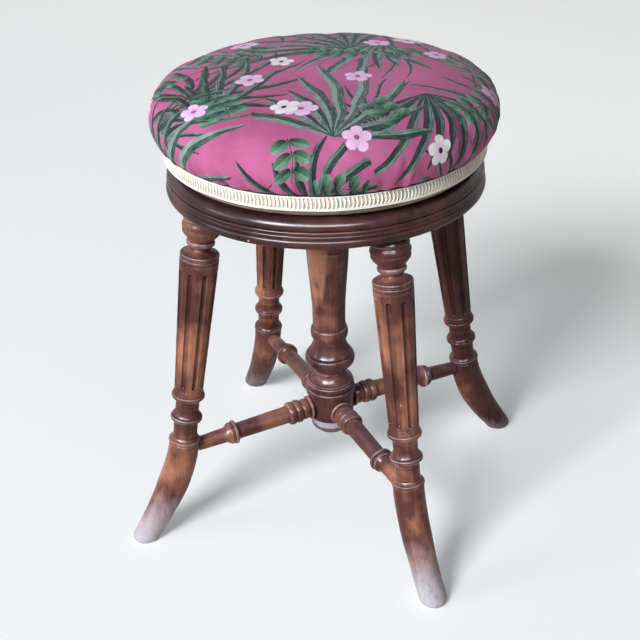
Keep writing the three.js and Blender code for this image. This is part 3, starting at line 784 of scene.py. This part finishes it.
cushionSizes = dict(
    bottom=429.7, tuck=(430.6, 158.6), widest=(451, 170.4), top=497,
    roundness=3.05, drawnIn=1.5, rings=30, sideRings=12, sides=128,
    voxel=4.2, pressure=4.0, cap=6.0, startShare=0.975, easeIn=12, heldShare=0.1,
    mass=0.3, quality=5, frames=20, calm=0.55, bins=60, flatCentre=60,
    puckers=52, pucker=[(2.4, 4.4), (0.7, 2.2), (9, 22), (-0.2, 0.2)],
    seed=11, foldFade=1.6, foldLip=(1.7, 0.45), shoulder=160, leftFlat=120,
    # turn in degrees, then as in a pucker: width, depth, reach up the side, lean
    folds=[(-26, 6.5, 3.2, 44, 0.28), (-17, 4.2, 2.2, 30, -0.2), (-47, 4.0, 1.6, 26, 0.1),
           (-78, 3.6, 1.3, 22, 0.0), (-104, 4.4, 1.8, 27, -0.15), (-133, 5.2, 1.9, 30, 0.12),
           (-160, 4.0, 1.6, 24, 0.2), (176, 5.0, 2.0, 30, -0.1), (139, 4.4, 1.8, 28, 0.1),
           (96, 5.4, 2.2, 34, 0.2), (58, 4.2, 1.7, 26, -0.2), (22, 5.6, 2.4, 36, 0.15)],
)


def coverMarks(sizes):
    # the cover's outline from its tucked edge to the middle of the crown
    (tuckHeight, tuckRadius), (middle, radius) = sizes["tuck"], sizes["widest"]
    marks = []
    for i in range(sizes["sideRings"]):
        turn, power = pi * i / (2 * sizes["sideRings"]), 2 / sizes["drawnIn"]
        marks.append((middle - (middle - tuckHeight) * cos(turn) ** power,
                      tuckRadius + (radius - tuckRadius) * sin(turn) ** power))
    for i in range(sizes["rings"]):
        turn, power = pi * i / (2 * sizes["rings"]), 2 / sizes["roundness"]
        marks.append((middle + (sizes["top"] - middle) * sin(turn) ** power,
                      radius * cos(turn) ** power))
    return marks + [(sizes["top"], 0)]


def cushionMarks(sizes):
    count, radius = sizes["rings"], sizes["tuck"][1]
    flat = [(sizes["bottom"], radius * i / count) for i in range(count + 1)]
    return flat + coverMarks(sizes)


def readTable(table, at, most=1):
    after = next((k for k in range(1, len(table)) if table[k][0] >= at), len(table) - 1)
    (a, first), (b, second) = table[after - 1], table[after]
    return first + (second - first) * min(most, max(0, (at - a) / (b - a + tiny)))


def settled(piece):
    # takes the piece's modifiers into its mesh
    depsgraph = bpy.context.evaluated_depsgraph_get()
    mesh = data.meshes.new_from_object(piece.evaluated_get(depsgraph))
    piece.modifiers.clear()
    old, piece.data = piece.data, mesh
    data.meshes.remove(old)


def blowUp(pad, sizes):
    tuck, shrink = sizes["tuck"][0] * mm, 1 - sizes["startShare"]
    remesh = pad.modifiers.new("even", "REMESH")
    remesh.mode, remesh.voxel_size = "VOXEL", sizes["voxel"] * mm
    settled(pad)
    held = pad.vertex_groups.new(name="held")
    start = {}
    for vert in pad.data.vertices:
        share = min(1, max(0, (vert.co.z - tuck) / (sizes["easeIn"] * mm)))
        vert.co.xy *= 1 - shrink * share
        vert.co.z = tuck + (vert.co.z - tuck) * (1 - shrink * 2 * share)
        start[vert.index] = vert.co.copy()
        if share < sizes["heldShare"]:
            held.add([vert.index], 1, "REPLACE")
    cover = pad.modifiers.new("cover", "CLOTH")
    cloth = cover.settings
    cloth.quality, cloth.mass, cloth.effector_weights.gravity = sizes["quality"], sizes["mass"], 0
    cloth.use_pressure, cloth.uniform_pressure_force = True, sizes["pressure"]
    cloth.vertex_group_mass = "held"
    cover.point_cache.frame_start, cover.point_cache.frame_end = 1, sizes["frames"]
    for count in range(1, sizes["frames"] + 1):
        scene.frame_set(count)
    settled(pad)
    scene.frame_set(1)
    for vert in pad.data.vertices:
        move = vert.co - start[vert.index]
        if move.length > sizes["cap"] * mm:
            vert.co = start[vert.index] + move.normalized() * sizes["cap"] * mm


def keepOutline(mesh, sizes):
    # the cloth keeps its folds, and on the whole lies on the photograph's outline
    middle = sizes["widest"][0]
    target = [(atan2(radius, height - middle), hypot(radius, height - middle))
              for height, radius in reversed(coverMarks(sizes))]
    last = target[-1][0]
    width = last / (sizes["bins"] - 1)

    def seen(vert):
        out, rise = vert.co.xy.length / mm, vert.co.z / mm - middle
        return atan2(out, rise), hypot(out, rise), rise

    bins = [[] for _ in range(sizes["bins"])]
    for vert in mesh.vertices:
        lean, far, _ = seen(vert)
        if lean < last:
            bins[round(lean / width)].append(far)
    means = [sum(part) / len(part) if part else None for part in bins]
    for i, mean in enumerate(means):
        if mean is None:
            means[i] = means[i - 1] or next(value for value in means if value)
    had = [(i * width, mean) for i, mean in enumerate(means)]
    for vert in mesh.vertices:
        lean, far, rise = seen(vert)
        if lean < last:
            aim = readTable(target, lean)
            kept = (1 - sizes["calm"]) * (far * aim / readTable(had, lean) - aim)
            factor = (aim + kept) / far
            vert.co.xy *= factor
            vert.co.z = (middle + rise * factor) * mm


def gather(mesh, sizes):
    chance = random.Random(sizes["seed"])
    tuckHeight, tuckRadius = sizes["tuck"]
    away, lipDepth = sizes["foldLip"]
    folds = [(radians(turn), *rest) for turn, *rest in sizes["folds"]]
    for i in range(sizes["puckers"]):
        turn = tau * (i + chance.uniform(-0.4, 0.4)) / sizes["puckers"]
        folds.append((turn, *(chance.uniform(*span) for span in sizes["pucker"])))
    for vert in mesh.vertices:
        rise = vert.co.z / mm - tuckHeight
        out = vert.co.xy.length / mm
        if rise < -0.2 or out < sizes["leftFlat"]:
            continue
        turn = atan2(vert.co.y, vert.co.x)
        along = rise + max(0, sizes["shoulder"] - out)
        sink = 0
        for at, width, depth, reach, lean in folds:
            off = (turn - at + pi) % tau - pi
            aside = off * tuckRadius - lean * along
            end = reach * sizes["foldFade"]
            if abs(aside) > 3 * width or along > end:
                continue
            fade = max(0, 1 - (along / end) ** 1.5)
            valley = exp(-(aside / width) ** 2)
            lip = exp(-((abs(aside) - away * width) / width) ** 2)
            sink += depth * fade * (valley - lipDepth * lip)
        if sink:
            vert.co -= vert.normal * sink * mm * min(1, 0.25 + max(0, rise) / 5)


def noteCloth(mesh, sizes):
    # where each point lies on the flat cloth, round the middle of the crown
    marks = coverMarks(sizes)[::-1]
    middle = sizes["tuck"][0] - sizes["flatCentre"]
    table, travelled = [], 0
    for i, (height, radius) in enumerate(marks):
        if i:
            travelled += dist(marks[i - 1], (height, radius))
        table.append((atan2(radius, height - middle), travelled))
    cloth = mesh.attributes.new("cloth", "FLOAT_VECTOR", "POINT")
    for vert, entry in zip(mesh.vertices, cloth.data):
        lean = atan2(vert.co.xy.length / mm, vert.co.z / mm - middle)
        far = readTable(table, lean, 1.3) * mm
        turn = atan2(vert.co.y, vert.co.x)
        entry.vector = (far * cos(turn), far * sin(turn), 0)


def makeCushion(sizes):
    pad = asObject("seat_cover", turned(cushionMarks(sizes), sizes["sides"]))
    blowUp(pad, sizes)
    finer = pad.modifiers.new("finer", "SUBSURF")
    finer.levels = finer.render_levels = 1
    settled(pad)
    pad.vertex_groups.clear()
    keepOutline(pad.data, sizes)
    gather(pad.data, sizes)
    noteCloth(pad.data, sizes)
    pad.data.shade_smooth()
    pad.data.materials.clear()
    pad.data.materials.append(printedCloth(printLook))
    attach(pad, "seat")
    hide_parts("seat_cover", "stuffing_pad")


# the printed cloth: palm fans, sprigs and small blossoms, made up and laid in layers

printLook = dict(
    ground=(0.53, 0.125, 0.28), groundDeep=(0.43, 0.09, 0.21), fern=(0.05, 0.16, 0.09),
    leafDark=(0.01, 0.014, 0.018), leafMid=(0.045, 0.085, 0.07),
    leafLight=(0.25, 0.36, 0.31), petal=(0.9, 0.56, 0.8), white=(0.88, 0.85, 0.8),
    heart=(0.38, 0.07, 0.19), petalShade=(0.675, 0.42, 0.6),
    # noise: scale, detail, roughness
    brush=(420, 2, 0.6), wash=(160, 4, 0.7), mottle=(18, 3), nap=(900, 2),
    sway=(0.016, 0.016, 0), thread=9000, relief=0.00012,
    # cell, turn, shift x and y, share shown, leaves, spread, width, curl: millimetres and degrees
    fans=[
        (142, 12, 50, 40, 0.98, 9, 120, 2.6, 30), (176, 67, -70, 40, 0.9, 11, 170, 4.0, -26),
        (168, 48, 50, 6, 0.85, 9, 140, 4.8, 24), (190, 31, 20, -86, 0.95, 9, 150, 6.0, 22)],
    # the same five, pairs of leaves, gap, leaf length, leaf width
    sprigs=[(120, 20, 25, 40, 0.8, 4, 15, 9.5, 5.6), (104, -35, 20, -10, 0.8, 3, 14, 10, 6)],
    # the same five, radius, and how white
    blossoms=[(84, 61, 20, 20, 0.6, 17, 0.0), (120, 33, -20, 46, 0.5, 18, 1.0)],
)


def cellPlace(board, u, v, cell, turn, x, y, shown):
    # the cloth in square cells: place in the cell, two chance values, if it is filled, a third
    cosine, sine = cos(radians(turn)), sin(radians(turn))
    cell = cell * mm
    across = (u * cosine + v * sine - x * mm) / cell
    up = (v * cosine - u * sine - y * mm) / cell
    column, row = across.sum("ROUND"), up.sum("ROUND")
    number = board.node("CombineXYZ", values=[column, row, turn * 0.37])
    chance = board.node("TexWhiteNoise", {"noise_dimensions": "3D"}, {"Vector": number}, "Color")
    chance, other, third = board.parts(chance)
    filled = third.under(shown, shown + 0.001)
    return (across - column) * cell, (up - row) * cell, chance, other, filled, third


def swungBy(chance, u, v):
    way = chance * 2 * pi
    cosine, sine = way.sum("COSINE"), way.sum("SINE")
    return u * cosine + v * sine, v * cosine - u * sine


def fanMask(board, u, v, brush, cell, turn, x, y, shown, leaves, spread, width, curl):
    u, v, chance, other, filled, third = cellPlace(board, u, v, cell, turn, x, y, shown)
    along, aside = swungBy(chance, u, v)
    along = along + (0.28 + 0.1 * other) * (cell * mm)
    far = (along * along + aside * aside).sum("SQRT")
    bent = far * (third - 0.5).sum("SIGN") * (radians(curl) / (cell * mm))
    angle = aside.sum("ARCTAN2", along) + bent
    gap = radians(spread) / leaves
    number = (angle / gap).sum("ROUND")
    wander = (number * 5.3 + third * 40).sum("SINE")
    off = (angle - (number + wander * 0.22) * gap) * far
    share = far / ((wander * 0.17 + 0.66) * (cell * mm))
    body = (share * (1 - share) * 4).sum("MAXIMUM", 0.0) ** 0.62
    leaf = (body * (width * mm) - abs(off) + brush).over(0.0, 0.0005)
    counted = abs(number).under(leaves / 2 - 0.4, leaves / 2 - 0.3)
    mask = leaf * counted * share.under(0.97, 1) * filled
    place = board.node("CombineXYZ", values=[off * 1400, far * 70, number])
    streaks = board.noise(place, 1.0, 2, 0.6)
    rib = abs(off).under(0.0001, 0.0006)
    tone = wander * 0.1 + off.over(-0.001, 0.001) * 0.34 + (streaks - 0.5) * 1.3
    return mask, tone + other * 0.3 - rib * 0.3 + 0.12


def sprigMask(board, u, v, brush, cell, turn, x, y, shown, pairs, gap, length, width):
    u, v, chance, _, filled, _ = cellPlace(board, u, v, cell, turn, x, y, shown)
    along, aside = swungBy(chance, u, v)
    aside = aside + along * along * 6
    near = along - (along / (gap * mm)).sum("ROUND") * (gap * mm)
    out = abs(aside) - length * 0.95 * mm
    a = (out * 0.88 + near * 0.48) / (length * mm)
    b = (near * 0.88 - out * 0.48) / (width * mm)
    leaf = (1 - (a * a + b * b) + brush * 220).over(0.0, 0.12)
    stem = abs(aside).under(0.0005, 0.001)
    end = gap * pairs / 2
    shape = leaf.sum("MAXIMUM", stem) * abs(along).under(end * mm, (end + 1) * mm)
    return shape * filled, a + b.over(-0.05, 0.05) * 0.8


def blossomMask(board, u, v, brush, cell, turn, x, y, shown, radius):
    u, v, chance, other, filled, third = cellPlace(board, u, v, cell, turn, x, y, shown)
    room = (cell - 3 * radius) * mm
    along, aside = u + (chance - 0.5) * room, v + (other - 0.5) * room
    size = (third * 0.35 + 0.75) * (radius * mm)
    far = (along * along + aside * aside).sum("SQRT") / size
    petal = abs((aside.sum("ARCTAN2", along) * 2.5 + chance * 6).sum("COSINE")) ** 0.5
    mask = (petal * 0.42 + 0.56 - far + brush * 60).over(0.0, 0.06) * filled
    return mask, far.under(0.14, 0.22), far.under(0.2, 0.75) * 0.5 + petal.under(0.3, 0.75) * 0.3


def printedCloth(look):
    board = Paint("printedCloth", Roughness=0.6, Specular_IOR_Level=0.12, Sheen_Weight=0.06)
    flat = board.vector("cloth")
    drift = board.node("TexNoise", values={"Vector": flat, "Scale": 15.0, "Detail": 1.0},
                       output="Color")
    bent = board.node("VectorMath", {"operation": "MULTIPLY_ADD"},
                      {0: drift, 1: look["sway"], 2: flat})
    u, v, _ = board.parts(bent)
    brush = (board.noise(flat, *look["brush"]) - 0.5) * 0.0014
    wash = board.noise(flat, *look["wash"])
    mottle = board.noise(flat, *look["mottle"]).over(0.3, 0.7)
    colour = board.blend(mottle, look["groundDeep"], look["ground"])
    for layer in look["fans"]:
        mask, tone = fanMask(board, u, v, brush, *layer)
        leaf = board.ramp(tone + wash * 0.5 - 0.25, (0.2, look["leafDark"]),
                          (0.48, look["leafMid"]), (0.85, look["leafLight"]))
        colour = board.blend(mask, colour, leaf)
    for layer in look["sprigs"]:
        mask, tone = sprigMask(board, u, v, brush, *layer)
        leaf = board.ramp(tone * 0.3 + wash * 0.6, (0.1, look["leafDark"]), (0.42, look["fern"]),
                          (0.95, look["leafLight"]))
        colour = board.blend(mask, colour, leaf)
    for *layer, white in look["blossoms"]:
        mask, heart, blush = blossomMask(board, u, v, brush, *layer)
        names = ("white", "petal", "leafDark") if white else ("petal", "petalShade", "heart")
        rim, middle, eye = (look[name] for name in names)
        petal = board.blend(heart, board.blend(blush, rim, middle), eye)
        colour = board.blend(mask, colour, petal)
    x, y, _ = board.parts(flat)
    weave = (x * look["thread"]).sum("SINE") * (y * look["thread"]).sum("SINE")
    relief = weave * 0.5 + board.noise(flat, *look["nap"]) * 0.6
    return board.finish(colour, None, relief, look["relief"])


makeCushion(cushionSizes)
print("cushion blown up, gathered and printed")


# the braid round the seat: a strip with looped cords between two edging cords

braidSizes = dict(
    bottom=416, height=14, inside=158.8, strip=0.55, margin=0.7, sides=180,
    cord=0.72, cordSides=8, cordProud=0.35, second=2.5,
    pitch=3.7, loop=(0.55, 0.82), loopSides=6, loopRings=7, loopFoot=2.6,
    loopProud=(0.25, 0.55), bow=1.5, wave=0.35,
    overlap=(radians(-20), 7, 0.8, 3, 0.5),  # turn, length, rise, ramp, slant
)


def braidLoop(sizes, face, low, high):
    loop = bmesh.new()
    verts = ops.create_circle(loop, segments=sizes["loopSides"], radius=mm)["verts"]
    proud, swell = sizes["loopProud"]
    frames = []
    for i in range(sizes["loopRings"] + 1):
        share = i / sizes["loopRings"]
        bulge = sin(pi * share)
        place = Vector((face + proud + swell * bulge, sizes["bow"] * bulge,
                        low + (high - low) * share))
        frames.append(Matrix.Translation(place * mm) @ Matrix.Diagonal((*sizes["loop"], 1, 1)))
    ops.transform(loop, matrix=frames[0], verts=verts)
    swept(loop, list(loop.edges), frames[0], frames[1:])
    ops.recalc_face_normals(loop, faces=loop.faces)
    return loop


def makeBraid(sizes):
    inside, bottom, top = sizes["inside"], sizes["bottom"], sizes["bottom"] + sizes["height"]
    face, cord = inside + sizes["strip"], sizes["cord"]
    low, high = bottom + sizes["margin"], top - sizes["margin"]
    shape = turned([(low, inside), (low, face), (high, face), (high, inside)], sizes["sides"], True)
    turns = [tau * k / sizes["cordSides"] for k in range(sizes["cordSides"])]
    for middle in (bottom + cord, bottom + sizes["second"] * cord, top - cord):
        ring = [(middle + cord * sin(turn),
                 face + cord * sizes["cordProud"] + cord * cos(turn)) for turn in turns]
        addPart(shape, turned(ring, sizes["sides"], True))
    loop = braidLoop(sizes, face, bottom + sizes["loopFoot"] * cord, top - cord)
    count = round(tau * face / sizes["pitch"])
    for i in range(count):
        addPart(shape, spun(loop.copy(), tau * i / count))
    loop.free()
    seam, length, rise, ramp, slant = sizes["overlap"]
    for vert in shape.verts:
        turn = atan2(vert.co.y, vert.co.x)
        vert.co.z += sizes["wave"] * mm * (sin(5 * turn) * 0.6 + sin(13 * turn + 1) * 0.4)
        off = ((turn - seam + pi) % tau - pi) * inside
        if 0 < off < length:
            vert.co.xy *= 1 + rise * min(1, (length - off) / ramp) / inside
            vert.co.z += slant * mm * (off / length - 0.5)
    mount("braid_trim", shape, braidCloth(braidLook, sizes), "seat")


braidLook = dict(
    deepShade=(0.7, 0.62, 0.47), face=(0.9, 0.865, 0.76), dirt=(0.6, 0.5, 0.36),
    soiled=(70, 4, 0.65), nap=(1500, 2), relief=0.00018,
)


def braidCloth(look, sizes):
    board = Paint("braidCloth", Roughness=0.85, Sheen_Weight=0.15)
    place = board.objectPlace()
    x, y, z = board.parts(place)
    out = (x * x + y * y).sum("SQRT")
    # painted shade: the strip set back between the cords and loops is painted darker than their
    # faces
    depth = out.over((sizes["inside"] + 0.4) * mm, (sizes["inside"] + 1.15) * mm)
    dirt = board.noise(place, *look["soiled"]).over(0.55, 0.85)
    colour = board.blend(dirt * 0.4, board.blend(depth, look["deepShade"], look["face"]), look["dirt"])
    twist = (y.sum("ARCTAN2", x) * 620 + z * 2600).sum("SINE")
    relief = twist * 0.5 + board.noise(place, *look["nap"]) * 0.5
    return board.finish(colour, None, relief, look["relief"])


makeBraid(braidSizes)
print("braid laid")


# floor and light

studio = dict(
    floor=(0.82, 0.785, 0.735), floorLift=(0.21, 0.235, 0.25),
    farLift=(0.345, 0.355, 0.355), floorSize=12, sky=(0.07, 0.067, 0.062),
    wall=(0.83, 0.84, 0.84), lampColour=(0.87, 0.92, 1.0), aim=(0, 0, 0.25),
    # to the camera's right, towards it, up, width, height, power
    lamps=dict(window=(-4.4, 5.5, 5.3, 3.3, 2.6, 940),
               shine=(-2.2, 7.6, 6.6, 12.0, 2.2, 3500),
               sideWindow=(-7.6, 1.6, 2.8, 3.0, 2.6, 170)),
)


def makeFloor(setup):
    floor = bmesh.new()
    ops.create_grid(floor, x_segments=1, y_segments=1, size=setup["floorSize"])
    ground = asObject("floor", floor)
    board = Paint("floorPaint", Roughness=0.9, Specular_IOR_Level=0, Emission_Strength=1,
                  Base_Color=(*setup["floor"], 1))
    x, y, _ = board.parts(board.objectPlace())
    lift = board.blend((x * 0.55 + y).over(-0.3, 1.6), setup["floorLift"], setup["farLift"])
    lift = board.blend(board.node("LightPath", output="Is Camera Ray"), (0, 0, 0), lift)
    board.tree.links.new(lift.socket, board.inputs["Emission Color"])
    ground.data.materials.append(board.material)


def makeSky(setup):
    world = data.worlds.new("world")
    scene.world = world
    world.use_nodes = True
    board = Board(world.node_tree)
    seen = board.node("LightPath", output="Is Camera Ray")
    for kind in ("Is Glossy Ray", "Is Transmission Ray"):
        seen = seen.sum("MAXIMUM", board.node("LightPath", output=kind))
    colour = board.blend(seen, setup["sky"], setup["wall"])
    board.end(board.node("Background", values=[colour]), "World")


def makeLamps(setup):
    turn = radians(cameraSetup["turn"])
    right = Vector((cos(turn), sin(turn), 0))
    front = Vector((sin(turn), -cos(turn), 0))
    for name, (aside, ahead, height, width, tall, power) in setup["lamps"].items():
        lamp = data.lights.new(name, "AREA")
        lamp.shape, (lamp.size, lamp.size_y), lamp.energy = "RECTANGLE", (width, tall), power
        lamp.color = setup["lampColour"]
        holder = data.objects.new(name, lamp)
        holder.location = right * aside + front * ahead + Vector((0, 0, height))
        way = Vector(setup["aim"]) - holder.location
        holder.rotation_euler = way.to_track_quat("-Z", "Y").to_euler()
        holder.visible_diffuse = name != "shine"  # that one is only there to be reflected
        scene.collection.objects.link(holder)


makeFloor(studio)
makeSky(studio)
makeLamps(studio)
scene.view_settings.view_transform = "Standard"
print("light set")
